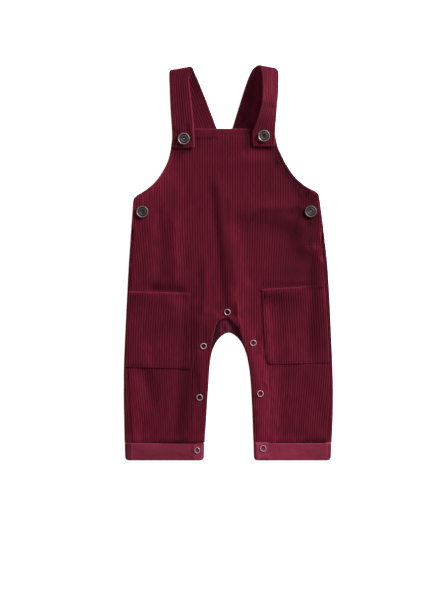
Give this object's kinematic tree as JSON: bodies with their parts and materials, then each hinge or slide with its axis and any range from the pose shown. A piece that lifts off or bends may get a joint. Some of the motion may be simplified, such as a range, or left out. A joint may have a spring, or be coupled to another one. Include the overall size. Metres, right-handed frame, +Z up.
{
  "type": "toddler overalls",
  "caption": "Toddler bib overalls in wide-wale corduroy, laid flat: patch pockets, buttoned straps and sides, snap inseam, turned-up hems.",
  "frame": {"origin": "on the table the garment lies on, under the middle of its bounding box", "axes": "+X to the right as one looks down at the front, +Y up the garment towards the straps, +Z up from the table"},
  "size_m": [0.286, 0.5386, 0.0252],
  "materials": {
    "corduroy": "wide-wale cotton corduroy, burgundy pile",
    "corduroy_inside": "smooth wrong side of the corduroy, lighter burgundy",
    "button_metal": "antique gunmetal, bright worn rim",
    "snap_metal": "pale nickel"
  },
  "bodies": {
    "root": {"front": "corduroy", "back": "corduroy", "crotch_facing": "corduroy_inside", "pocket_left": "corduroy", "pocket_right": "corduroy", "strap_left": "corduroy", "strap_right": "corduroy", "cuff_left": "corduroy_inside", "cuff_right": "corduroy_inside", "button_bib_left": "button_metal", "button_bib_right": "button_metal", "button_side_left": "button_metal", "button_side_right": "button_metal", "snap_crotch": "snap_metal", "snap_left_top": "snap_metal", "snap_left_middle": "snap_metal", "snap_left_cuff": "snap_metal", "snap_right_top": "snap_metal", "snap_right_middle": "snap_metal", "snap_right_cuff": "snap_metal"}
  },
  "joints": []
}
